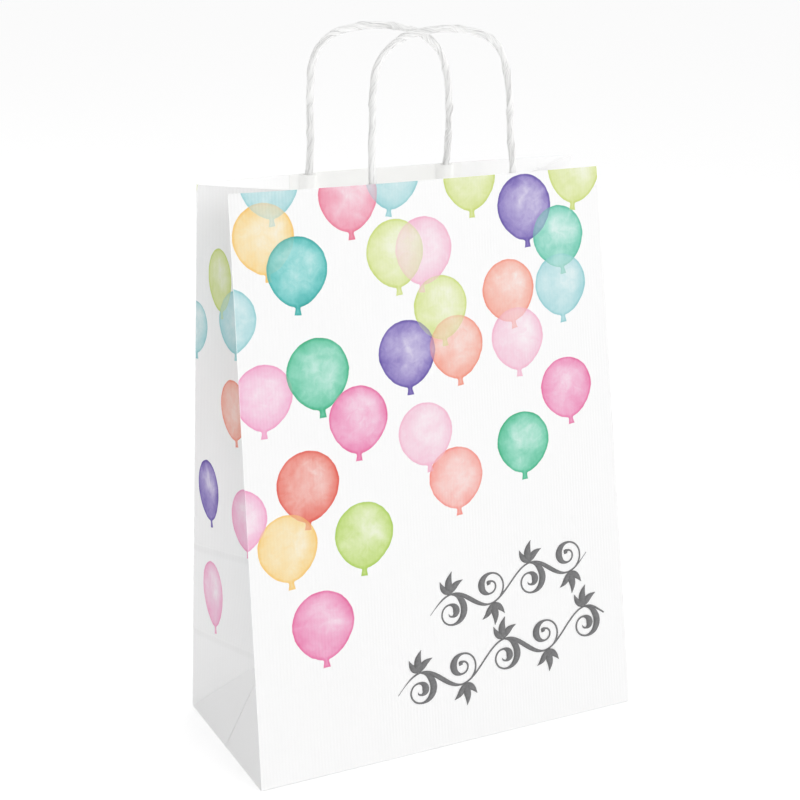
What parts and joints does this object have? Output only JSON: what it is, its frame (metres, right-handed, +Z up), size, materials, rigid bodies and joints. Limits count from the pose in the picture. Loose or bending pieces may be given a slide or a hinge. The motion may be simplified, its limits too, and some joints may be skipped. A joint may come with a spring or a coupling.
{
  "type": "gift bag",
  "caption": "Paper gift bag with gusseted sides, a folded flat bottom and twisted paper cord handles, for carrying presents.",
  "frame": {"origin": "centre of the flat bottom, on the surface the bag stands on", "axes": "+Z up the bag, -Y towards the viewer of the front panel, +X to the right seen from the front"},
  "size_m": [0.26, 0.1199, 0.4407],
  "materials": {
    "printed_paper": "matte",
    "plain_paper": "matte",
    "patch_paper": "matte",
    "twisted_cord": "satin"
  },
  "bodies": {
    "base": {"front_bottom_flap": "plain_paper", "back_bottom_flap": "plain_paper", "left_end_flap": "plain_paper", "right_end_flap": "plain_paper"},
    "front_wall": {"front_panel": "printed_paper", "left_gusset_front": "printed_paper", "right_gusset_front": "printed_paper", "front_patch_base": "patch_paper", "front_patch_cover": "patch_paper", "front_rope_tails": "twisted_cord"},
    "back_wall": {"back_panel": "printed_paper", "seam_lap": "plain_paper", "left_gusset_rear": "printed_paper", "right_gusset_rear": "printed_paper", "back_patch_base": "patch_paper", "back_patch_cover": "patch_paper", "back_rope_tails": "twisted_cord"},
    "left_corner_front": {"left_corner_front": "printed_paper"},
    "left_corner_rear": {"left_corner_rear": "printed_paper"},
    "right_corner_front": {"right_corner_front": "printed_paper"},
    "right_corner_rear": {"right_corner_rear": "printed_paper"},
    "front_handle": {"front_handle": "twisted_cord"},
    "back_handle": {"back_handle": "twisted_cord"}
  },
  "joints": [
    {"name": "front_wall_crease", "type": "hinge", "parent": "base", "child": "front_wall", "pos_m": [0, -0.06, 0], "axis": [1, 0, 0], "range_deg": [0, 8.7], "deforming": ["left_gusset_front", "right_gusset_front"]},
    {"name": "back_wall_crease", "type": "hinge", "parent": "base", "child": "back_wall", "pos_m": [0, 0.06, 0], "axis": [-1, 0, 0], "range_deg": [0, 6.1], "deforming": ["left_gusset_rear", "right_gusset_rear"]},
    {"name": "left_corner_front_fold", "type": "hinge", "parent": "front_wall", "child": "left_corner_front", "pos_m": [-0.13, -0.06, 0], "axis": [-0.7061, -0.7061, 0.0537], "range_deg": [0, 12.4]},
    {"name": "right_corner_front_fold", "type": "hinge", "parent": "front_wall", "child": "right_corner_front", "pos_m": [0.13, -0.06, 0], "axis": [-0.7061, 0.7061, -0.0537], "range_deg": [0, 12.4]},
    {"name": "left_corner_rear_fold", "type": "hinge", "parent": "back_wall", "child": "left_corner_rear", "pos_m": [-0.13, 0.06, 0], "axis": [0.5723, -0.8189, -0.0435], "range_deg": [0, 10.7]},
    {"name": "right_corner_rear_fold", "type": "hinge", "parent": "back_wall", "child": "right_corner_rear", "pos_m": [0.13, 0.06, 0], "axis": [0.5723, 0.8189, 0.0435], "range_deg": [0, 10.7]},
    {"name": "front_handle_bend", "type": "hinge", "parent": "front_wall", "child": "front_handle", "pos_m": [0.0175, -0.00329, 0.34863], "axis": [1, 0, 0], "range_deg": [0, 100]},
    {"name": "back_handle_bend", "type": "hinge", "parent": "back_wall", "child": "back_handle", "pos_m": [-0.0125, 0.01942, 0.35087], "axis": [-1, 0, 0], "range_deg": [0, 100]}
  ],
  "couplings": [
    {"joint": "back_wall_crease", "follows": "front_wall_crease", "ratio": 0.69953},
    {"joint": "left_corner_front_fold", "follows": "front_wall_crease", "ratio": 1.4135},
    {"joint": "right_corner_front_fold", "follows": "front_wall_crease", "ratio": 1.4135},
    {"joint": "left_corner_rear_fold", "follows": "front_wall_crease", "ratio": 1.22},
    {"joint": "right_corner_rear_fold", "follows": "front_wall_crease", "ratio": 1.22}
  ]
}
